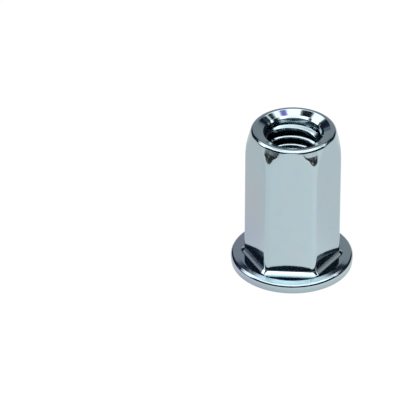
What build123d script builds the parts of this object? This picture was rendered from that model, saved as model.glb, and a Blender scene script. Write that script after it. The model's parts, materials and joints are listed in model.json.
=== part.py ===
"""Flat-head rivet nut with a full hexagonal shank, M6, open end.

One piece of cold-headed, tapped and zinc-plated steel. It stands on the outer face of its
flange: the origin is the centre of that face, +Z runs along the axis up to the nose, and two
of the six flats face -Y and +Y. All sizes are in millimetres and all angles in degrees.

The screw enters through the flange, passes the thin-walled barrel that folds when the nut is
set, and ends in the tapped nose. The tapped bore is drawn at the thread's minor diameter.
"""

import os
from math import cos, radians, sin, tan

from build123d import *

# Whole part
overall_length = 16.5

# Shank: a hexagon with rounded corners, from the flange to the nose
shank_across_flats = 8.95
shank_corner_radius = 0.75
shank_root_radius = 0.4

# Flange: a headed disc, 13 mm across. Its bearing face is flat around the shank and falls
# away towards the rim, and its wall draws in slightly towards the outer face.
flange_thickness = 1.1
flange_overhang = 1.45
flange_fall_width = 0.9
flange_fall_angle = 10.0
flange_draft_angle = 4.0
flange_crown_radius = 1.5
flange_rim_radius = 0.32
flange_foot_radius = 0.1

# Nose: the hexagon's corners are turned down to a round end a little inside the flats. The
# outline leaves the corners through a radius and goes on in a slighter curve to its taper,
# and the end is well rounded on the outside.
nose_inset = 0.03
nose_taper = 17.0
nose_blend_radius = 6.0
nose_blend_angle = 12.0
nose_blend_clearance = 0.02
nose_land = 0.5
nose_edge_radius = 0.45
mouth_edge_radius = 0.3

# Thread, and the three cones that lead into it from the nose: a shallow countersink, a
# chamfer and a steep lead that cuts the first crests back. A little under the full 0.54
# pitches of ridge are left, as a tap leaves it in a 6H hole.
thread_diameter = 6.0
thread_pitch = 1.0
thread_height_in_pitches = 0.45
countersink_angle = 135.0
countersink_depth = 0.31
thread_chamfer_angle = 90.0
thread_lead_depth = 2.2
thread_lead_taper = 11.0

# Barrel: the screw passes it with a radial clearance, and a drilled shoulder ends it
barrel_clearance = 0.5
barrel_bore_depth = 8.5
barrel_shoulder_angle = 118.0
barrel_mouth_chamfer = 0.25

# Radii that follow from the sizes above. The root radius stays on the flat of the flange.
hexagon_half_angle = radians(30)
flat_reach = shank_across_flats / 2
corner_reach = (flat_reach - shank_corner_radius) / cos(hexagon_half_angle) + shank_corner_radius
flange_radius = corner_reach + flange_overhang
bearing_radius = flange_radius - flange_fall_width
root_radius = min(shank_root_radius, 0.95 * (bearing_radius - corner_reach))
minor_radius = thread_diameter / 2 - thread_height_in_pitches * thread_pitch
barrel_radius = thread_diameter / 2 + barrel_clearance

with BuildPart() as rivet_nut:
    # Hexagonal blank over the full height
    with BuildSketch(Plane.XY) as shank_section:
        RegularPolygon(flat_reach, 6, major_radius=False)
        fillet(shank_section.vertices(), shank_corner_radius)
    extrude(amount=overall_length)

    # Flange. The fall and the draft meet in a corner just outside the finished diameter, and
    # the rim radius takes that corner off.
    fall = radians(flange_fall_angle)
    draft = radians(flange_draft_angle)
    rim_excess = flange_rim_radius * ((cos(fall) + sin(draft)) / cos(fall - draft) - 1)
    rim_x = flange_radius + rim_excess
    rim_z = flange_thickness - (rim_x - bearing_radius) * tan(fall)
    with BuildSketch(Plane.XZ) as flange_section:
        with BuildLine() as flange_outline:
            Polyline(
                (0, 0),
                (rim_x - rim_z * tan(draft), 0),
                (rim_x, rim_z),
                (bearing_radius, flange_thickness),
                (0, flange_thickness),
                close=True,
            )
        make_face()
        fillet(flange_section.vertices().sort_by(Axis.X)[-1], flange_rim_radius)
        fillet(flange_section.vertices().group_by(Axis.Y)[0].sort_by(Axis.X)[-1], flange_foot_radius)
        fillet(flange_section.vertices().group_by(Axis.Y)[-1].sort_by(Axis.X)[-1], flange_crown_radius)
    revolve(axis=Axis.Z)

    # Radius between the shank and the bearing face
    bearing_face = rivet_nut.faces().filter_by(Axis.Z).sort_by(Axis.Z)[1]
    fillet(bearing_face.inner_wires()[0].edges(), root_radius)

    # Outline of the nose: the blend radius, then the curve that reaches the taper at its end
    nose_radius = flat_reach - nose_inset
    blend_reach = corner_reach + nose_blend_clearance
    blend_end, nose_end = radians(nose_blend_angle), radians(nose_taper)
    blend_drop = nose_blend_radius * (1 - cos(blend_end))
    curve_radius = (blend_reach - blend_drop - nose_radius) / (cos(blend_end) - cos(nose_end))
    curve_height = curve_radius * (sin(nose_end) - sin(blend_end))
    blend_start = overall_length - curve_height - nose_blend_radius * sin(blend_end)

    # Outline of the bore, from the nose down to the barrel's mouth
    mouth_radius = nose_radius - nose_land
    countersink_slope = tan(radians(countersink_angle / 2))
    chamfer_top_radius = mouth_radius - countersink_depth * countersink_slope
    chamfer_slope = tan(radians(thread_chamfer_angle / 2))
    lead_slope = tan(radians(thread_lead_taper))
    lead_start = overall_length - thread_lead_depth
    lead_reach = minor_radius + lead_slope * (thread_lead_depth - countersink_depth)
    if chamfer_top_radius > lead_reach:
        chamfer_depth = (chamfer_top_radius - lead_reach) / (chamfer_slope - lead_slope)
        mouth_cones = [
            (chamfer_top_radius, overall_length - countersink_depth),
            (
                chamfer_top_radius - chamfer_slope * chamfer_depth,
                overall_length - countersink_depth - chamfer_depth,
            ),
        ]
    else:
        # A wide thread's lead takes the chamfer away and meets the countersink itself
        rise = (lead_reach - chamfer_top_radius) / (countersink_slope - lead_slope)
        mouth_cones = [
            (lead_reach + lead_slope * rise, overall_length - countersink_depth + rise),
        ]
    shoulder_height = (barrel_radius - minor_radius) / tan(radians(barrel_shoulder_angle / 2))

    # The nose and the bore are turned together; outside the shank the outline keeps clear
    clear_radius = 2 * flange_radius
    with BuildSketch(Plane.XZ) as turned_section:
        with BuildLine() as turned_outline:
            blend = JernArc((blend_reach, blend_start), (0, 1), nose_blend_radius, nose_blend_angle)
            curve = JernArc(blend @ 1, blend % 1, curve_radius, nose_taper - nose_blend_angle)
            Polyline(
                curve @ 1,
                (mouth_radius, overall_length),
                *mouth_cones,
                (minor_radius, lead_start),
                (minor_radius, barrel_bore_depth + shoulder_height),
                (barrel_radius, barrel_bore_depth),
                (barrel_radius, barrel_mouth_chamfer),
                (barrel_radius + barrel_mouth_chamfer, 0),
                (clear_radius, 0),
                (clear_radius, blend_start),
                blend @ 0,
            )
        make_face()
        fillet(turned_section.vertices().group_by(Axis.Y)[-1].sort_by(Axis.X)[-1], nose_edge_radius)
        fillet(turned_section.vertices().group_by(Axis.Y)[-1].sort_by(Axis.X)[0], mouth_edge_radius)
    revolve(axis=Axis.Z, mode=Mode.INTERSECT)

rivet_nut.part.label = "rivet_nut"

os.makedirs("parts", exist_ok=True)
export_step(rivet_nut.part, "parts/rivet_nut.step")
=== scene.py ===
"""Rivet nut with a hexagonal shank, standing on its flange in a pale studio.

The whole nut is one skin, made of rings that run from the tapped hole out over the nose, down
the shank, round the flange and up inside the barrel. A node tree winds the thread into the
hole and welds it to the skin. All sizes are in metres, in the frame of the CAD model.
"""

import json
from math import asin, atan2, ceil, cos, hypot, pi, radians, sin, tan

import bmesh
import bpy
from mathutils import Euler, Matrix, Vector


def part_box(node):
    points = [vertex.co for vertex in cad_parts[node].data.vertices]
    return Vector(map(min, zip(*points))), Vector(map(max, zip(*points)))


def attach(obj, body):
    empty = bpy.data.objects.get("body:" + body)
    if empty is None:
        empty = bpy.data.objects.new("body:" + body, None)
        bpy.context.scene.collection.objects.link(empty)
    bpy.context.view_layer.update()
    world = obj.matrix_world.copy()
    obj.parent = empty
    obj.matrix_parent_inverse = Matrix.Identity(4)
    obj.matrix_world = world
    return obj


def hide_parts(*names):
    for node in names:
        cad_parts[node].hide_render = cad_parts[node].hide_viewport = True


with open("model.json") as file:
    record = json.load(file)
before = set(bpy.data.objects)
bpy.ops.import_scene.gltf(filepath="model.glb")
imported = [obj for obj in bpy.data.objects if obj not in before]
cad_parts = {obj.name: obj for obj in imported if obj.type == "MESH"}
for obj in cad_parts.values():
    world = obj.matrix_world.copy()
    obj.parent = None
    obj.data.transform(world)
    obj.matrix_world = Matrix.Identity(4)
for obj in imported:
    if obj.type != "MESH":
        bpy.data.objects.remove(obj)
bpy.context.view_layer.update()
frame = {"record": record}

bl_info = {
    "name": "Rivet nut",
    "version": (1, 0, 0),
    "blender": (4, 5, 0),
    "location": "3D View > Sidebar > Rivet nut",
    "description": "Makes a zinc plated hexagonal rivet nut and a pale studio around it",
    "category": "Add Mesh",
}

MM = 0.001
NODE = "rivet_nut"
BODY = "root"
SLOT = "zinc_plated_steel"
SKIN_NAME = "rivet_nut_skin"
SIDES = 6

LOW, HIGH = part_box(NODE)
MOUNTS = {mount["name"]: mount for mount in frame["record"]["mounts"]}


def mount_size(name, size):
    """A size of one of the record's mounts, in metres."""
    return MOUNTS[name]["dims"][size] * MM


def length(name, description, default):
    """A property for a length."""
    return bpy.props.FloatProperty(
        name=name, description=description, default=default, min=0.0, unit="LENGTH", precision=5
    )


def angle(name, description, degrees):
    """A property for an angle, given in degrees."""
    return bpy.props.FloatProperty(
        name=name, description=description, default=radians(degrees), unit="ROTATION"
    )


def amount(name, description, default, subtype="NONE"):
    """A property for a plain number."""
    return bpy.props.FloatProperty(
        name=name, description=description, default=default, subtype=subtype, precision=3
    )


def count(name, description, default):
    """A property for a whole number."""
    return bpy.props.IntProperty(name=name, description=description, default=default, min=1)


def colour(name, description, default):
    """A property for a linear colour."""
    return bpy.props.FloatVectorProperty(
        name=name, description=description, default=default, size=3, min=0.0, max=1.0, subtype="COLOR"
    )


# ---------------------------------------------------------------------------------------------
# Settings
# ---------------------------------------------------------------------------------------------


class RIVETNUT_PG_shape(bpy.types.PropertyGroup):
    """Sizes of the nut."""

    height: length("Height", "From the flange's outer face to the nose", HIGH.z - LOW.z)
    flange_diameter: length("Flange diameter", "Across the flange", HIGH.x - LOW.x)
    across_flats: length("Across flats", "Between two opposite flats of the shank", 8.95 * MM)
    corner_radius: length("Corner radius", "Rounding of the shank's corners", 0.75 * MM)
    root_size: length("Root size", "Sloping root between the shank and the flange", 0.35 * MM)
    root_softness: length("Root softness", "Rounding of the root's two edges", 0.12 * MM)
    flange_thickness: length("Flange thickness", "At the shank", 1.15 * MM)
    fall_width: length("Fall width", "Sloping part of the bearing face", 0.9 * MM)
    fall_angle: angle("Fall angle", "Slope of the bearing face's outer part", 8)
    draft_angle: angle("Draft angle", "Lean of the flange's wall", 5)
    crown_radius: length("Crown radius", "Where the fall starts", 1.5 * MM)
    rim_radius: length("Rim radius", "Upper edge of the flange's wall", 0.38 * MM)
    foot_radius: length("Foot radius", "Lower edge of the flange's wall", 0.1 * MM)
    nose_inset: length("Nose inset", "How far the nose ends inside the flats", 0.03 * MM)
    nose_taper: angle("Nose taper", "Lean of the nose's outline at its end", 17)
    nose_blend: length("Nose blend", "Radius that leads the nose into the corners", 6.0 * MM)
    nose_blend_angle: angle("Nose blend angle", "Lean where the blend ends", 12)
    nose_clearance: length("Nose clearance", "Between the blend and the corners", 0.02 * MM)
    nose_softness: length("Nose softness", "Rounding where the nose cuts the shank", 0.15 * MM)
    nose_land: length("Nose land", "From the mouth to the nose's outline", 0.5 * MM)
    nose_edge: length("Nose edge", "Rounding of the nose's outer edge", 0.38 * MM)
    mouth_edge: length("Mouth edge", "Rounding where the countersink starts", 0.3 * MM)
    countersink_depth: length("Countersink depth", "Depth of the first cone", 0.31 * MM)
    countersink_angle: angle("Countersink angle", "Included angle of the first cone", 135)
    countersink_edge: length("Countersink edge", "Rounding where the countersink ends", 0.05 * MM)
    chamfer_angle: angle("Chamfer angle", "Included angle of the cone at the thread", 90)
    shoulder_angle: angle("Shoulder angle", "Included angle where the barrel ends", 118)
    barrel_radius: length("Barrel radius", "Inside the barrel", mount_size("barrel_bore", "r_mm"))
    mouth_chamfer: length("Mouth chamfer", "At the screw's entry", 0.25 * MM)
    barrel_length: length(
        "Barrel length", "Plain part of the bore", mount_size("barrel_bore", "length_mm")
    )
    flat_columns: count("Flat columns", "Mesh faces across a flat", 24)
    corner_columns: count("Corner columns", "Mesh faces round a corner", 12)


class RIVETNUT_PG_thread(bpy.types.PropertyGroup):
    """Sizes of the thread."""

    pitch: length("Pitch", "From one crest to the next", 1.0 * MM)
    minor_radius: length("Minor radius", "At the crests", mount_size("thread", "r_mm"))
    major_radius: length("Major radius", "At the roots", 3.0 * MM)
    crest_width: length("Crest width", "Flat at a crest", 0.14 * MM)
    root_width: length("Root width", "Flat at a root", 0.3 * MM)
    crest_softness: length("Crest softness", "Rounding of the crests", 0.08 * MM)
    root_softness: length("Root softness", "Rounding of the roots", 0.06 * MM)
    start_angle: angle("Start angle", "Turns the thread about the axis", 85)
    lead_height: length("Lead height", "Where the crests start to open to the nose", 14.6 * MM)
    lead_angle: angle("Lead angle", "How much the crests open", 19)
    rows_per_turn: count("Rows per turn", "Mesh faces along one pitch", 32)


class RIVETNUT_PG_finish(bpy.types.PropertyGroup):
    """Colours and gloss of the zinc plating."""

    zinc: colour("Zinc", "Main colour of the plating", (0.435, 0.555, 0.60))
    zinc_warm: colour("Warm zinc", "Where the passivate is thin", (0.45, 0.555, 0.585))
    film_violet: colour("Violet film", "Interference colour", (0.42, 0.47, 0.64))
    film_pink: colour("Pink film", "Interference colour", (0.51, 0.50, 0.56))
    film_amount: amount("Film amount", "Strength of the interference colours", 0.25, "FACTOR")
    film_side: amount("Film on one side", "Strength on the side facing -X", 0.45, "FACTOR")
    # Painted shade: the dark colour painted into the thread's grooves
    groove: colour("Groove", "Colour in the thread's grooves", (0.03, 0.05, 0.08))
    roughness: amount("Roughness", "Gloss of the plating", 0.08, "FACTOR")
    roughness_spread: amount("Roughness spread", "How much the gloss varies", 0.05, "FACTOR")
    grain: length("Grain", "Size of the plating's grain", 0.12 * MM)
    grain_height: length("Grain height", "Height of the plating's grain", 0.0002 * MM)
    ripple: length("Ripple", "Size of the small waves in the surface", 0.6 * MM)
    ripple_height: length("Ripple height", "Height of the small waves", 0.0015 * MM)
    wave: length("Wave", "Size of the slow waves in the surface", 1.6 * MM)
    wave_height: length("Wave height", "Height of the slow waves", 0.0025 * MM)


class RIVETNUT_PG_stage(bpy.types.PropertyGroup):
    """Floor, light and camera."""

    floor_size: length("Floor size", "Edge of the floor", 2.2)
    floor_colour: colour("Floor colour", "Colour of the floor", (0.9, 0.9, 0.9))
    backdrop_share: amount("Backdrop share", "How much of the floor is plain backdrop", 0.93, "FACTOR")
    backdrop: amount("Backdrop", "Brightness of the plain backdrop", 1.03)
    front_left: amount("Front left", "Mirrored floor in front on the left", 0.96)
    front_right: amount("Front right", "Mirrored floor in front on the right", 1.07)
    rear_left: amount("Rear left", "Mirrored floor behind the nut on the left", 0.79)
    rear_right: amount("Rear right", "Mirrored floor behind the nut on the right", 0.88)
    gap_start: length("Gap start", "Where the dark gaps in the mirrored floor start", 78 * MM)
    gap_level: amount("Gap level", "Brightness of those gaps", 0.03)
    shade_start: length("Shade start", "Where the nut's own shade on the floor is full", 3.5 * MM)
    shade_end: length("Shade end", "Where the nut's own shade on the floor ends", 8.0 * MM)
    tent_radius: length("Tent radius", "Of the light tent", 1.05)
    tent_top: amount("Tent top", "Brightness of the tent's top in front", 3.0)
    tent_zenith: amount("Tent zenith", "Brightness of the tent overhead in front", 1.7)
    tent_rear: amount("Tent rear", "Brightness of the tent's top behind", 2.1)
    tent_edge_front: angle("Tent edge in front", "Lower edge of the tent's bright top", 48)
    tent_edge_rear: angle("Tent edge behind", "Lower edge of the tent's bright top", 46)
    tent_back: amount("Tent back", "Brightness of the tent's back", 0.38)
    tent_dark: amount("Tent dark", "Brightness of the tent's open sides", 0.03)
    tent_shadow: colour("Tent shadow", "Tint of the dark parts", (0.42, 0.62, 1.0))
    tent_violet: colour("Tent violet", "Tint of one panel", (0.42, 0.32, 1.0))
    camera_distance: length("Camera distance", "From the middle of the nut", 543.2 * MM)
    camera_azimuth: angle("Camera azimuth", "Round the axis from -Y", 2.35)
    camera_elevation: angle("Camera elevation", "Above the floor", 33.34)
    camera_roll: angle("Camera roll", "About the line of sight", 0.13)
    focal_length: amount("Focal length", "Of the camera's lens, in millimetres", 462.9)
    frame_right: amount("Right of centre", "Place of the nut in a frame of width 1", 0.2317)
    frame_up: amount("Above centre", "Place of the nut in a frame of height 1", 0.0133)


def settings():
    """The scene's rivet nut settings."""
    return bpy.context.scene.rivet_nut


# ---------------------------------------------------------------------------------------------
# Node graphs
# ---------------------------------------------------------------------------------------------


class Value:
    """A node's output. Arithmetic on it adds Math nodes."""

    def __init__(self, graph, socket):
        self.graph = graph
        self.socket = socket

    def math(self, operation, *terms):
        return self.graph.add("ShaderNodeMath", {"operation": operation}, *terms)

    def __add__(self, other):
        return self.math("ADD", self, other)

    __radd__ = __add__

    def __sub__(self, other):
        return self.math("SUBTRACT", self, other)

    def __rsub__(self, other):
        return self.math("SUBTRACT", other, self)

    def __mul__(self, other):
        return self.math("MULTIPLY", self, other)

    __rmul__ = __mul__

    def __truediv__(self, other):
        return self.math("DIVIDE", self, other)

    def __rtruediv__(self, other):
        return self.math("DIVIDE", other, self)

    def __pow__(self, other):
        return self.math("POWER", self, other)

    def __neg__(self):
        return self.math("MULTIPLY", self, -1.0)

    def __abs__(self):
        return self.math("ABSOLUTE", self)


class Graph:
    """A node tree that nodes are added to by type, settings and socket values."""

    def __init__(self, tree):
        self.tree = tree

    def node(self, kind, options=None, *ordered, **named):
        """Adds a node. Its settings come first, then its sockets, by place or by name."""
        node = self.tree.nodes.new(kind)
        for name, value in (options or {}).items():
            setattr(node, name, value)
        for place, value in enumerate(ordered):
            self.plug(node.inputs[place], value)
        for name, value in named.items():
            self.plug(self.socket(node.inputs, name), value)
        return node

    def add(self, kind, options=None, *ordered, take=0, **named):
        """Adds a node and gives one of its outputs as a value."""
        node = self.node(kind, options, *ordered, **named)
        return Value(self, self.socket(node.outputs, take))

    def plug(self, socket, value):
        if isinstance(value, Value):
            value = value.socket
        if isinstance(value, bpy.types.NodeSocket):
            self.tree.links.new(value, socket)
        else:
            socket.default_value = value

    @staticmethod
    def socket(sockets, key):
        """The socket at a place, or with an identifier or a name."""
        if isinstance(key, int):
            return sockets[key]
        for socket in sockets:
            if socket.identifier == key:
                return socket
        return sockets[key.replace("_", " ")]

    def ramp(self, value, low, high, start=0.0, end=1.0, smooth=True):
        """Start where the value is low, end where it is high, and between them in between."""
        options = {"interpolation_type": "SMOOTHSTEP" if smooth else "LINEAR"}
        return self.add("ShaderNodeMapRange", options, value, low, high, start, end)

    def blend(self, share, first, second):
        """A colour between two others."""
        return self.add(
            "ShaderNodeMix",
            {"data_type": "RGBA"},
            take="Result_Color",
            Factor_Float=share,
            A_Color=first,
            B_Color=second,
        )

    def noise(self, vector, size, detail=2.0, roughness=0.5):
        """Noise of a given feature size, mostly between 0.3 and 0.7."""
        options = {"noise_dimensions": "3D"}
        return self.add(
            "ShaderNodeTexNoise",
            options,
            Vector=vector,
            Scale=1.0 / size,
            Detail=detail,
            Roughness=roughness,
        )


def rgba(tint):
    return (tint[0], tint[1], tint[2], 1.0)


# ---------------------------------------------------------------------------------------------
# Zinc plating
# ---------------------------------------------------------------------------------------------


def zinc_material():
    """Bright zinc with a pale blue passivate, a fine grain, faint interference colours and painted
    shade in the thread's grooves.
    """
    finish = settings().finish
    material = bpy.data.materials.get(SLOT) or bpy.data.materials.new(SLOT)
    material.use_nodes = True
    material.node_tree.nodes.clear()
    graph = Graph(material.node_tree)
    place = graph.add("ShaderNodeTexCoord", take="Object")

    cloud = graph.ramp(graph.noise(place, 3.2 * MM, 3.0), 0.38, 0.62)
    film = graph.ramp(graph.noise(place, 1.4 * MM, 2.0), 0.50, 0.66)
    hue = graph.ramp(graph.noise(place, 2.3 * MM, 1.0), 0.42, 0.58)
    plating = graph.blend(cloud * 0.6, rgba(finish.zinc), rgba(finish.zinc_warm))
    interference = graph.blend(hue, rgba(finish.film_violet), rgba(finish.film_pink))
    base = graph.blend(film * finish.film_amount, plating, interference)

    # The film is thicker on one side. The thread's grooves are painted dark: painted shade that stands
    # in for the little light that comes out of them
    spot = graph.node("ShaderNodeSeparateXYZ", {}, place)
    x, y, z = (Value(graph, spot.outputs[axis]) for axis in range(3))
    bands = graph.blend(
        graph.ramp(z, 4 * MM, 9 * MM), rgba(finish.film_violet), rgba(finish.film_pink)
    )
    thick = graph.ramp(x, -2.6 * MM, -3.6 * MM) * graph.ramp(z, 13 * MM, 9 * MM)
    base = graph.blend(thick * finish.film_side, base, bands)
    radius = (x * x + y * y) ** 0.5
    groove = graph.ramp(radius, 2.66 * MM, 2.84 * MM) * graph.ramp(radius, 3.2 * MM, 3.1 * MM)
    groove = groove * graph.ramp(z, 15.2 * MM, 14.7 * MM)
    # Painted shade: the grooves take a dark colour in place of their shading
    base = graph.blend(groove, base, rgba(finish.groove))

    fine = graph.noise(place, finish.grain, 2.0, 0.6)
    gloss = finish.roughness + (fine - 0.5) * finish.roughness_spread
    height = fine * finish.grain_height
    height = height + graph.noise(place, finish.ripple, 1.0) * finish.ripple_height
    height = height + graph.noise(place, finish.wave, 1.0) * finish.wave_height
    normal = graph.add(
        "ShaderNodeBump", {}, take="Normal", Strength=1.0, Distance=1.0, Height=height
    )
    shader = graph.add(
        "ShaderNodeBsdfPrincipled",
        {},
        take="BSDF",
        Base_Color=base,
        Metallic=1.0,
        Roughness=gloss,
        Normal=normal,
    )
    graph.node("ShaderNodeOutputMaterial", {}, Surface=shader)
    return material


# ---------------------------------------------------------------------------------------------
# Skin
# ---------------------------------------------------------------------------------------------


def soft_min(first, second, width):
    """The lower of two values, eased where they differ by less than a width."""
    if width <= 0.0:
        return min(first, second)
    ease = max(width - abs(first - second), 0.0) / width
    return min(first, second) - ease * ease * width / 4


def section_columns(shape):
    """Foot point and outward normal of each mesh column on the shank's section."""
    flat_reach = shape.across_flats / 2
    centre_reach = (flat_reach - shape.corner_radius) / cos(pi / SIDES)
    half_flat = (flat_reach - shape.corner_radius) * tan(pi / SIDES)
    half_corner = shape.corner_columns // 2
    support = 0.05 * MM
    columns = []
    for side in range(SIDES):
        corner_turn = 2 * pi * side / SIDES
        flat_turn = corner_turn + pi / SIDES
        flat_normal = Vector((cos(flat_turn), sin(flat_turn)))
        along = Vector((-sin(flat_turn), cos(flat_turn)))
        for step in range(half_corner):
            turn = corner_turn + pi / SIDES * step / half_corner
            normal = Vector((cos(turn), sin(turn)))
            centre = Vector((cos(corner_turn), sin(corner_turn))) * centre_reach
            columns.append((centre + normal * shape.corner_radius, normal))
        inner = half_flat - support
        places = [-half_flat]
        places += [
            -inner + 2 * inner * step / (shape.flat_columns - 2)
            for step in range(shape.flat_columns - 1)
        ]
        places += [half_flat]
        for place in places:
            columns.append((flat_normal * flat_reach + along * place, flat_normal))
        for step in range(1, half_corner):
            turn = flat_turn + pi / SIDES * step / half_corner
            normal = Vector((cos(turn), sin(turn)))
            centre_turn = corner_turn + 2 * pi / SIDES
            centre = Vector((cos(centre_turn), sin(centre_turn))) * centre_reach
            columns.append((centre + normal * shape.corner_radius, normal))
    return columns


def rounded(corners, steps):
    """Points along a line through (r, z, radius) corners, with an arc at each radius."""
    points = []
    for place, (r, z, radius) in enumerate(corners):
        corner = Vector((r, z))
        if radius <= 0.0 or place in (0, len(corners) - 1):
            points.append(corner)
            continue
        before = (Vector(corners[place - 1][:2]) - corner).normalized()
        after = (Vector(corners[place + 1][:2]) - corner).normalized()
        half = before.angle(after) / 2
        centre = corner + (before + after).normalized() * radius / sin(half)
        start = corner + before * radius / tan(half) - centre
        end = corner + after * radius / tan(half) - centre
        sweep = start.angle_signed(end)
        for step in range(steps + 1):
            turn = -sweep * step / steps
            points.append(centre + Matrix.Rotation(turn, 2) @ start)
    return points


def supported(points, support, longest):
    """The same line with points added near the ends of long runs and along them."""
    line = [points[0]]
    for start, end in zip(points, points[1:]):
        run = (end - start).length
        if run > 4 * support:
            inner = run - 2 * support
            pieces = max(1, ceil(inner / longest))
            for step in range(pieces + 1):
                line.append(start.lerp(end, (support + inner * step / pieces) / run))
        line.append(end)
    return line


def skin_rings(shape, thread, ends):
    """Rings of points from the thread's upper end, over the outside, to its lower end."""
    columns = section_columns(shape)
    total = len(columns)
    section_turns = []
    for foot, _ in columns:
        turn = atan2(foot.y, foot.x)
        section_turns.append(turn if turn > -1e-6 else turn + 2 * pi)
    even_turns = [2 * pi * column / total for column in range(total)]
    flat_reach = shape.across_flats / 2
    corner_reach = (flat_reach - shape.corner_radius) / cos(pi / SIDES) + shape.corner_radius
    bottom, top = LOW.z, LOW.z + shape.height
    support = 0.04 * MM

    def round_ring(point, evenness=0.0):
        return [
            (
                point.x * cos(turn + (even - turn) * evenness),
                point.x * sin(turn + (even - turn) * evenness),
                point.y,
            )
            for turn, even in zip(section_turns, even_turns)
        ]

    def shank_ring(offset, z):
        return [
            (foot.x + normal.x * offset, foot.y + normal.y * offset, z) for foot, normal in columns
        ]

    # Nose: bore cones, land and the outer curve, which also turns the corners down
    nose_radius = flat_reach - shape.nose_inset
    mouth_radius = nose_radius - shape.nose_land
    chamfer_top = mouth_radius - shape.countersink_depth * tan(shape.countersink_angle / 2)
    chamfer_top_z = top - shape.countersink_depth
    blend_reach = corner_reach + shape.nose_clearance
    blend_end, nose_end = shape.nose_blend_angle, shape.nose_taper
    curve_reach = blend_reach - shape.nose_blend * (1 - cos(blend_end))
    curve_radius = (curve_reach - nose_radius) / (cos(blend_end) - cos(nose_end))
    curve_start = top - curve_radius * (sin(nose_end) - sin(blend_end))
    blend_start = curve_start - shape.nose_blend * sin(blend_end)

    def nose_outline(z):
        if z <= curve_start:
            rise = max(z - blend_start, 0.0)
            return blend_reach - shape.nose_blend + (shape.nose_blend**2 - rise**2) ** 0.5
        rise = z - curve_start + curve_radius * sin(blend_end)
        return curve_reach - curve_radius * cos(blend_end) + (curve_radius**2 - rise**2) ** 0.5

    outside_z = top - 2 * shape.nose_edge
    section_radii = [hypot(*foot) for foot, _ in columns]

    def nose_ring(point, width):
        return [
            (radius * cos(turn), radius * sin(turn), point.y)
            for turn, radius in (
                (turn, soft_min(reach, point.x, width))
                for turn, reach in zip(section_turns, section_radii)
            )
        ]

    rings = []
    bore_line = rounded(
        [
            (thread.major_radius, ends[1], 0.0),
            (chamfer_top, chamfer_top_z, shape.countersink_edge),
            (mouth_radius, top, shape.mouth_edge),
            (nose_radius, top, shape.nose_edge),
            (nose_outline(outside_z), outside_z, 0.0),
        ],
        8,
    )
    bore_line = supported(bore_line, 0.02 * MM, 0.15 * MM)
    for point in bore_line[:-1]:
        if point.x > mouth_radius:
            rings.append(nose_ring(point, 0.03 * MM))
            continue
        evenness = 1.1 * (mouth_radius - point.x) / (mouth_radius - thread.major_radius)
        rings.append(round_ring(point, min(evenness, 1.0)))

    nose_top = bore_line[-2].y
    fade = 0.6 * MM
    nose_foot = blend_start - fade
    steps = 36
    for step in range(1, steps + 1):
        z = nose_top + (nose_foot - nose_top) * step / steps
        width = shape.nose_softness
        width *= min(max((z - nose_foot) / (2 * fade), 0.0), 1.0)
        width *= min(max((nose_top - z) / (0.8 * fade), 0.2), 1.0)
        rings.append(nose_ring(Vector((nose_outline(z), z)), width))

    # Shank and its sloping root
    bearing_z = bottom + shape.flange_thickness
    root_line = rounded(
        [
            (0.0, bearing_z + 2 * shape.root_size, 0.0),
            (0.0, bearing_z + shape.root_size, shape.root_softness),
            (shape.root_size, bearing_z, shape.root_softness),
            (2 * shape.root_size, bearing_z, 0.0),
        ],
        6,
    )[1:-1]
    shank_foot = root_line[0].y + support
    steps = 10
    for step in range(1, steps + 1):
        rings.append(shank_ring(0.0, nose_foot + (shank_foot - nose_foot) * step / steps))
    for point in root_line:
        rings.append(shank_ring(point.x, point.y))

    # Flange
    flange_radius = shape.flange_diameter / 2
    bearing_radius = flange_radius - shape.fall_width
    fall, draft = shape.fall_angle, shape.draft_angle
    rim_excess = shape.rim_radius * ((cos(fall) + sin(draft)) / cos(fall - draft) - 1)
    rim_x = flange_radius + rim_excess
    rim_z = bearing_z - (rim_x - bearing_radius) * tan(fall)
    foot_x = rim_x - (rim_z - bottom) * tan(draft)
    barrel_end = bottom + shape.mouth_chamfer + shape.barrel_length
    flange_line = rounded(
        [
            (0.5 * bearing_radius, bearing_z, 0.0),
            (bearing_radius, bearing_z, shape.crown_radius),
            (rim_x, rim_z, shape.rim_radius),
            (foot_x, bottom, shape.foot_radius),
            (shape.barrel_radius + shape.mouth_chamfer, bottom, 0.0),
        ],
        12,
    )[1:]
    flat_end = flange_line[0]
    outer = [
        Vector((foot.x + normal.x * root_line[-1].x, foot.y + normal.y * root_line[-1].x))
        for foot, normal in columns
    ]
    for share in (0.06, 0.3, 0.6, 0.9):
        rings.append(
            [
                (
                    point.x + (flat_end.x * cos(turn) - point.x) * share,
                    point.y + (flat_end.x * sin(turn) - point.y) * share,
                    bearing_z,
                )
                for point, turn in zip(outer, section_turns)
            ]
        )
    for point in supported(flange_line, support, 0.6 * MM):
        rings.append(round_ring(point))

    # Barrel, up to the lower end of the thread
    barrel_line = [
        Vector((shape.barrel_radius + shape.mouth_chamfer, bottom)),
        Vector((shape.barrel_radius, bottom + shape.mouth_chamfer)),
        Vector((shape.barrel_radius, barrel_end)),
        Vector((thread.major_radius, ends[0])),
    ]
    for point in supported(barrel_line, support, 1.0 * MM)[1:]:
        evenness = (point.y - bottom - shape.mouth_chamfer) / (0.8 * shape.barrel_length)
        rings.append(round_ring(point, min(max(evenness, 0.0), 1.0)))
    return rings


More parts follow.
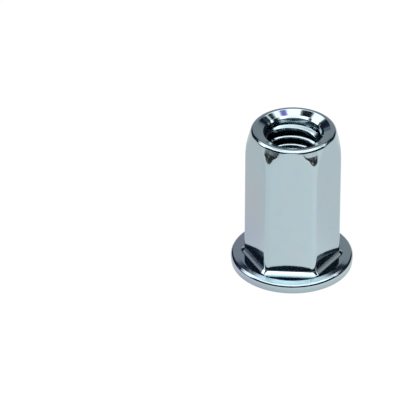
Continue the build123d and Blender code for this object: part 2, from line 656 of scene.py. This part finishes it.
def thread_ends(shape, thread):
    """Heights at which the barrel's shoulder and the chamfer reach the thread's roots."""
    flat_reach = shape.across_flats / 2
    mouth_radius = flat_reach - shape.nose_inset - shape.nose_land
    chamfer_top = mouth_radius - shape.countersink_depth * tan(shape.countersink_angle / 2)
    chamfer_top_z = LOW.z + shape.height - shape.countersink_depth
    upper = chamfer_top_z - (chamfer_top - thread.major_radius) / tan(shape.chamfer_angle / 2)
    barrel_end = LOW.z + shape.mouth_chamfer + shape.barrel_length
    lower = barrel_end + (shape.barrel_radius - thread.major_radius) / tan(shape.shoulder_angle / 2)
    return lower, upper


# ---------------------------------------------------------------------------------------------
# Thread
# ---------------------------------------------------------------------------------------------

THREAD_INPUTS = (
    ("Columns", "NodeSocketInt"),
    ("Rows per turn", "NodeSocketInt"),
    ("Pitch", "NodeSocketFloat"),
    ("Minor radius", "NodeSocketFloat"),
    ("Major radius", "NodeSocketFloat"),
    ("Crest width", "NodeSocketFloat"),
    ("Root width", "NodeSocketFloat"),
    ("Crest softness", "NodeSocketFloat"),
    ("Root softness", "NodeSocketFloat"),
    ("Start turn", "NodeSocketFloat"),
    ("Lead height", "NodeSocketFloat"),
    ("Lead slope", "NodeSocketFloat"),
    ("Lower end", "NodeSocketFloat"),
    ("Upper end", "NodeSocketFloat"),
    ("Shoulder slope", "NodeSocketFloat"),
    ("Chamfer slope", "NodeSocketFloat"),
    ("Material", "NodeSocketMaterial"),
)


def thread_tree():
    """A node tree that winds an internal thread between two cones and welds it to a skin."""
    tree = bpy.data.node_groups.new("Internal thread", "GeometryNodeTree")
    tree.is_modifier = True
    tree.interface.new_socket(name="Geometry", in_out="INPUT", socket_type="NodeSocketGeometry")
    for name, kind in THREAD_INPUTS:
        tree.interface.new_socket(name=name, in_out="INPUT", socket_type=kind)
    tree.interface.new_socket(name="Geometry", in_out="OUTPUT", socket_type="NodeSocketGeometry")
    graph = Graph(tree)
    inputs = graph.node("NodeGroupInput")
    given = {socket.name: Value(graph, socket) for socket in inputs.outputs if socket.name}
    pitch, lower, upper = given["Pitch"], given["Lower end"], given["Upper end"]

    # A flat sheet whose x runs once round the hole and whose y runs up the rows
    rows = ((upper - lower) / pitch + 1.0) * given["Rows per turn"]
    rows = rows.math("CEIL", rows)
    sheet = graph.add(
        "GeometryNodeMeshGrid", {}, 1.0, 1.0, given["Columns"] + 1.0, rows + 1.0, take="Mesh"
    )
    place = graph.node("ShaderNodeSeparateXYZ", {}, graph.add("GeometryNodeInputPosition"))
    round_share = Value(graph, place.outputs[0]) + 0.5
    row = (Value(graph, place.outputs[1]) + 0.5) * rows / given["Rows per turn"]

    # Each row climbs one pitch a turn. Rows past either end stop there, and those close to an
    # end are drawn to it, so that no thin slivers are left.
    climb = lower + (row + round_share - 1.0) * pitch
    near = 0.4 * pitch / given["Rows per turn"]
    below = climb.math("LESS_THAN", climb, lower + near)
    above = climb.math("GREATER_THAN", climb, upper - near)
    height = climb + (lower - climb) * below
    height = height + (upper - height) * above

    # Distance up or down from the middle of the nearest crest gives the flank's radius
    phase = (height - lower) / pitch - round_share - given["Start turn"]
    phase = phase.math("FRACT", phase)
    from_crest = abs(phase - 0.5) * pitch
    flank = (pitch - given["Root width"] - given["Crest width"]) / 2.0
    depth = given["Major radius"] - given["Minor radius"]
    radius = given["Minor radius"] + (from_crest - given["Crest width"] / 2.0) / flank * depth
    opening = (height - given["Lead height"]) * given["Lead slope"]
    crest = given["Minor radius"] + opening.math("MAXIMUM", opening, 0.0)
    radius = radius.math("SMOOTH_MIN", radius, given["Major radius"], given["Root softness"])
    radius = radius.math("SMOOTH_MAX", radius, crest, given["Crest softness"])
    radius = radius.math("MINIMUM", radius, given["Major radius"])
    shoulder = given["Major radius"] + (lower - height) * given["Shoulder slope"]
    chamfer = given["Major radius"] + (height - upper) * given["Chamfer slope"]
    radius = radius.math("MAXIMUM", radius, shoulder)
    radius = radius.math("MAXIMUM", radius, chamfer)

    turn = round_share * (2 * pi)
    spot = graph.add(
        "ShaderNodeCombineXYZ",
        {},
        radius * turn.math("COSINE", turn),
        radius * turn.math("SINE", turn),
        height,
    )
    wound = graph.add("GeometryNodeSetPosition", {}, sheet, Position=spot)
    inward = graph.add("GeometryNodeFlipFaces", {}, wound)
    joined = graph.node("GeometryNodeJoinGeometry")
    tree.links.new(given["Geometry"].socket, joined.inputs[0])
    tree.links.new(inward.socket, joined.inputs[0])
    welded = graph.add(
        "GeometryNodeMergeByDistance", {}, Value(graph, joined.outputs[0]), Distance=0.001 * MM
    )
    smooth = graph.add("GeometryNodeSetShadeSmooth", {}, welded)
    whole = graph.add("GeometryNodeRealizeInstances", {}, smooth)
    painted = graph.add("GeometryNodeSetMaterial", {}, whole, Material=given["Material"])
    graph.node("NodeGroupOutput", {}, painted)
    return tree


def add_thread(skin, shape, thread, columns, material):
    """Gives the skin its thread and turns the result into a plain mesh."""
    lower, upper = thread_ends(shape, thread)
    values = {
        "Columns": columns,
        "Rows per turn": thread.rows_per_turn,
        "Pitch": thread.pitch,
        "Minor radius": thread.minor_radius,
        "Major radius": thread.major_radius,
        "Crest width": thread.crest_width,
        "Root width": thread.root_width,
        "Crest softness": thread.crest_softness,
        "Root softness": thread.root_softness,
        "Start turn": thread.start_angle / (2 * pi),
        "Lead height": LOW.z + thread.lead_height,
        "Lead slope": tan(thread.lead_angle),
        "Lower end": lower,
        "Upper end": upper,
        "Shoulder slope": tan(shape.shoulder_angle / 2),
        "Chamfer slope": tan(shape.chamfer_angle / 2),
        "Material": material,
    }
    modifier = skin.modifiers.new("Thread", "NODES")
    modifier.node_group = thread_tree()
    for item in modifier.node_group.interface.items_tree:
        if item.in_out == "INPUT" and item.name in values:
            modifier[item.identifier] = values[item.name]
    bpy.context.view_layer.update()
    depsgraph = bpy.context.evaluated_depsgraph_get()
    mesh = bpy.data.meshes.new_from_object(skin.evaluated_get(depsgraph), depsgraph=depsgraph)
    plain = skin.data
    skin.modifiers.remove(modifier)
    skin.data = mesh
    bpy.data.meshes.remove(plain)
    mesh.name = skin.name


def open_edges(mesh):
    """How many edges do not join exactly two faces."""
    checked = bmesh.new()
    checked.from_mesh(mesh)
    found = sum(1 for edge in checked.edges if not edge.is_manifold)
    checked.free()
    return found


# ---------------------------------------------------------------------------------------------
# Stage
# ---------------------------------------------------------------------------------------------


# Panels and gaps of the tent: azimuth from -Y towards +X, elevation, half width, half height,
# all in degrees, and brightness
TENT_PATCHES = (
    (-92, 33, 14, 10, 2.6),
    (98, 34, 4, 5, 2.0),
    (-113, 23.5, 4, 2.5, 0.45),
    (112, 26.5, 4, 2.5, 0.5),
    (139, 57, 13, 4.5, 0.02),
    (146, 48, 11, 3, 0.02),
    (-139, 68, 14, 7, 0.02),
)
TENT_PANEL = (149, 71.5, 8, 4)


def bearing(graph):
    """Azimuth from -Y towards +X, elevation and distance from the axis of a place."""
    place = graph.node("ShaderNodeSeparateXYZ", {}, graph.add("ShaderNodeTexCoord", take="Object"))
    x, y, z = (Value(graph, place.outputs[axis]) for axis in range(3))
    distance = (x * x + y * y) ** 0.5
    return x.math("ARCTAN2", x, -y), z.math("ARCTAN2", z, distance), distance


def patch(graph, azimuth, elevation, middle, half, edge):
    """A soft edged patch of the tent or the floor: 1 inside and 0 outside."""
    across, up = abs(azimuth - radians(middle[0])), abs(elevation - radians(middle[1]))
    inside = graph.ramp(across, radians(half[0] + edge), radians(half[0] - edge))
    return inside * graph.ramp(up, radians(half[1] + edge), radians(half[1] - edge))


def floor_material(stage):
    """A pale sheet that is plain white to the eye and keeps a faint shadow."""
    material = bpy.data.materials.new("pale_floor")
    material.use_nodes = True
    material.node_tree.nodes.clear()
    graph = Graph(material.node_tree)
    light = graph.node("ShaderNodeLightPath")
    seen = Value(graph, light.outputs["Is Camera Ray"])
    mirrored = Value(graph, light.outputs["Is Glossy Ray"])
    mirrored = mirrored.math("MAXIMUM", mirrored, light.outputs["Is Transmission Ray"])

    # In the metal the sheet dims behind the nut, and ends in ragged gaps on both sides in front
    place = graph.add("ShaderNodeTexCoord", take="Object")
    azimuth, _, distance = bearing(graph)
    aside, ahead = azimuth.math("SINE", azimuth), azimuth.math("COSINE", azimuth)
    ragged = (graph.noise(place, 26 * MM, 3.0) - 0.5) * (36 * MM)
    start = graph.ramp(distance + ragged, stage.gap_start * 0.93, stage.gap_start * 1.07)
    gap = 0.0
    for side, first, last, slant, end in (
        (-1, 32, 70, 0.47, 115 * MM),
        (1, 25, 62, 0.05, 150 * MM),
    ):
        turn = azimuth * side
        reach = distance * (aside * side - ahead * slant) + ragged
        inside = graph.ramp(turn, radians(first - 3), radians(first + 3))
        inside = inside * graph.ramp(turn, radians(last + 3), radians(last - 3))
        gap = gap + inside * graph.ramp(reach, end + 5 * MM, end - 5 * MM)
    gap = gap * start * graph.ramp(graph.noise(place, 20 * MM, 1.0), 0.72, 0.64)
    right = graph.ramp(azimuth, radians(-40), radians(40))
    front = stage.front_left + right * (stage.front_right - stage.front_left)
    behind = stage.rear_left + right * (stage.rear_right - stage.rear_left)
    level = front + graph.ramp(abs(azimuth), radians(60), radians(105)) * (behind - front)
    level = level + gap * (stage.gap_level - level)
    level = level * graph.ramp(distance, stage.shade_start, stage.shade_end)
    level = stage.backdrop + (level - stage.backdrop) * mirrored

    paper = graph.add("ShaderNodeBsdfDiffuse", {}, rgba(stage.floor_colour), take="BSDF")
    backdrop = graph.add("ShaderNodeEmission", {}, Strength=level, take="Emission")
    share = seen.math("MAXIMUM", seen * stage.backdrop_share, mirrored)
    mixed = graph.add("ShaderNodeMixShader", {}, share, paper, backdrop)
    graph.node("ShaderNodeOutputMaterial", {}, Surface=mixed)
    return material


def tent_material(stage):
    """A bright top, a dim back, open dark sides, and a few panels and gaps."""
    material = bpy.data.materials.new("light_tent")
    material.use_nodes = True
    material.node_tree.nodes.clear()
    graph = Graph(material.node_tree)
    place = graph.add("ShaderNodeTexCoord", take="Object")
    azimuth, elevation, _ = bearing(graph)
    azimuth = azimuth + (graph.noise(place, 110 * MM, 2.0) - 0.5) * radians(14)
    elevation = elevation + (graph.noise(place, 75 * MM, 2.0) - 0.5) * radians(8)
    back = graph.ramp(abs(azimuth), radians(146), radians(156))
    back = back * graph.ramp(elevation, radians(40), radians(37))
    level = stage.tent_dark + back * (stage.tent_back - stage.tent_dark)
    rear = graph.ramp(abs(azimuth), radians(95), radians(125))
    overhead = graph.ramp(elevation, radians(52), radians(58))
    top = stage.tent_top + overhead * (stage.tent_zenith - stage.tent_top)
    top = top + rear * (stage.tent_rear - top)
    edge = stage.tent_edge_front + rear * (stage.tent_edge_rear - stage.tent_edge_front)
    level = level + graph.ramp(elevation, edge - radians(2), edge + radians(2)) * (top - level)
    for *spot, brightness in TENT_PATCHES:
        inside = patch(graph, azimuth, elevation, spot[:2], spot[2:], 1.5)
        level = level + inside * (brightness - level)
    panel = patch(graph, azimuth, elevation, TENT_PANEL[:2], TENT_PANEL[2:], 1.5)
    level = level + panel * (0.7 - level)
    white = (1.0, 1.0, 1.0, 1.0)
    tint = graph.blend(graph.ramp(level, 0.0, 0.5), rgba(stage.tent_shadow), white)
    tint = graph.blend(panel, tint, rgba(stage.tent_violet))
    glow = graph.add("ShaderNodeEmission", {}, Color=tint, Strength=level, take="Emission")
    graph.node("ShaderNodeOutputMaterial", {}, Surface=glow)
    return material


def add_tent(stage):
    """A dome of light around the nut that the camera looks through."""
    around, up = 48, 12
    points = []
    for ring in range(up):
        rise = pi / 2 * ring / up
        level, height = stage.tent_radius * cos(rise), stage.tent_radius * sin(rise)
        for step in range(around):
            turn = 2 * pi * step / around
            points.append((level * cos(turn), level * sin(turn), LOW.z + height))
    points.append((0.0, 0.0, LOW.z + stage.tent_radius))
    faces = []
    for ring in range(up - 1):
        for step in range(around):
            here, after = ring * around + step, ring * around + (step + 1) % around
            faces.append((after, here, here + around, after + around))
    last = (up - 1) * around
    for step in range(around):
        faces.append((last + (step + 1) % around, last + step, len(points) - 1))
    mesh = bpy.data.meshes.new("light_tent")
    mesh.from_pydata(points, [], faces)
    mesh.materials.append(tent_material(stage))
    tent = bpy.data.objects.new("light_tent", mesh)
    bpy.context.scene.collection.objects.link(tent)
    tent.visible_camera = False


def build_world():
    """A plain white backdrop."""
    world = bpy.data.worlds.new("studio")
    world.use_nodes = True
    world.node_tree.nodes.clear()
    graph = Graph(world.node_tree)
    surface = graph.add("ShaderNodeBackground", {}, (1.0, 1.0, 1.0, 1.0), 1.0, take="Background")
    graph.node("ShaderNodeOutputWorld", {}, Surface=surface)
    return world


def add_floor(stage):
    half = stage.floor_size / 2
    mesh = bpy.data.meshes.new("floor")
    corners = [(-half, -half, LOW.z), (half, -half, LOW.z), (half, half, LOW.z), (-half, half, LOW.z)]
    mesh.from_pydata(corners, [], [(0, 1, 2, 3)])
    mesh.materials.append(floor_material(stage))
    floor = bpy.data.objects.new("floor", mesh)
    bpy.context.scene.collection.objects.link(floor)


def add_camera(stage):
    """A long lens that looks down on the nut and holds it right of the frame's middle.

    The camera stands upright: it turns about the vertical and tilts until the middle of the
    nut is at its place in the frame.
    """
    middle = (LOW + HIGH) / 2
    lens = bpy.data.cameras.new("camera")
    lens.sensor_width = 36.0
    lens.lens = stage.focal_length
    lens.clip_start = 0.01
    lens.clip_end = 20.0
    depth = lens.lens / lens.sensor_width
    sight = Vector((stage.frame_right, stage.frame_up, depth)).normalized()
    drop = -sin(stage.camera_elevation)
    tilt = asin(drop / hypot(sight.y, sight.z)) - atan2(sight.y, sight.z)
    heading = atan2(sight.x, sight.z * cos(tilt) - sight.y * sin(tilt)) + stage.camera_azimuth
    upright = Euler((pi / 2 + tilt, 0.0, heading)).to_matrix()
    turned = upright @ Matrix.Rotation(stage.camera_roll, 3, "Z")
    level = stage.camera_distance * cos(stage.camera_elevation)
    offset = Vector(
        (
            level * sin(stage.camera_azimuth),
            -level * cos(stage.camera_azimuth),
            -stage.camera_distance * drop,
        )
    )
    camera = bpy.data.objects.new("camera", lens)
    camera.matrix_world = Matrix.Translation(middle + offset) @ turned.to_4x4()
    bpy.context.scene.collection.objects.link(camera)
    bpy.context.scene.camera = camera


# ---------------------------------------------------------------------------------------------
# Operators and panel
# ---------------------------------------------------------------------------------------------


class RIVETNUT_OT_nut(bpy.types.Operator):
    """Make the rivet nut, with its thread and its zinc plating"""

    bl_idname = "rivet_nut.make_nut"
    bl_label = "Rivet nut"
    bl_options = {"REGISTER", "UNDO"}

    def execute(self, context):
        shape, thread = settings().shape, settings().thread
        rings = skin_rings(shape, thread, thread_ends(shape, thread))
        columns = len(rings[0])
        faces = []
        for ring in range(len(rings) - 1):
            for column in range(columns):
                after = (column + 1) % columns
                upper, lower = ring * columns, (ring + 1) * columns
                faces.append((upper + column, lower + column, lower + after, upper + after))
        mesh = bpy.data.meshes.new(SKIN_NAME)
        mesh.from_pydata([point for ring in rings for point in ring], [], faces)
        skin = bpy.data.objects.new(SKIN_NAME, mesh)
        context.scene.collection.objects.link(skin)
        add_thread(skin, shape, thread, columns, zinc_material())
        skin.data.set_sharp_from_angle(angle=radians(25))
        if open_edges(skin.data):
            raise RuntimeError("the nut's skin is not closed")
        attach(skin, BODY)
        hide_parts(NODE)
        return {"FINISHED"}


class RIVETNUT_OT_stage(bpy.types.Operator):
    """Make the floor, the studio light and the camera"""

    bl_idname = "rivet_nut.make_stage"
    bl_label = "Studio"
    bl_options = {"REGISTER", "UNDO"}

    def execute(self, context):
        stage = settings().stage
        add_floor(stage)
        add_tent(stage)
        add_camera(stage)
        context.scene.world = build_world()
        context.scene.view_settings.view_transform = "Standard"
        return {"FINISHED"}


class RIVETNUT_PG_settings(bpy.types.PropertyGroup):
    """Everything that can be set."""

    shape: bpy.props.PointerProperty(type=RIVETNUT_PG_shape, name="Shape")
    thread: bpy.props.PointerProperty(type=RIVETNUT_PG_thread, name="Thread")
    finish: bpy.props.PointerProperty(type=RIVETNUT_PG_finish, name="Finish")
    stage: bpy.props.PointerProperty(type=RIVETNUT_PG_stage, name="Stage")


class RIVETNUT_PT_panel(bpy.types.Panel):
    """Lists the operators and their settings"""

    bl_idname = "RIVETNUT_PT_panel"
    bl_label = "Rivet nut"
    bl_space_type = "VIEW_3D"
    bl_region_type = "UI"
    bl_category = "Rivet nut"

    def draw(self, context):
        groups = context.scene.rivet_nut
        parts = (
            (RIVETNUT_OT_nut, (groups.shape, groups.thread, groups.finish)),
            (RIVETNUT_OT_stage, (groups.stage,)),
        )
        for operator, shown in parts:
            box = self.layout.box()
            box.operator(operator.bl_idname)
            for group in shown:
                for name in group.bl_rna.properties.keys():
                    if name not in ("rna_type", "name"):
                        box.prop(group, name)


CLASSES = (
    RIVETNUT_PG_shape,
    RIVETNUT_PG_thread,
    RIVETNUT_PG_finish,
    RIVETNUT_PG_stage,
    RIVETNUT_PG_settings,
    RIVETNUT_OT_nut,
    RIVETNUT_OT_stage,
    RIVETNUT_PT_panel,
)


def register():
    for item in CLASSES:
        bpy.utils.register_class(item)
    bpy.types.Scene.rivet_nut = bpy.props.PointerProperty(type=RIVETNUT_PG_settings)


def unregister():
    del bpy.types.Scene.rivet_nut
    for item in reversed(CLASSES):
        bpy.utils.unregister_class(item)


def main():
    """Makes the nut and its studio."""
    register()
    bpy.ops.rivet_nut.make_nut()
    bpy.ops.rivet_nut.make_stage()


if __name__ == "__main__":
    main()
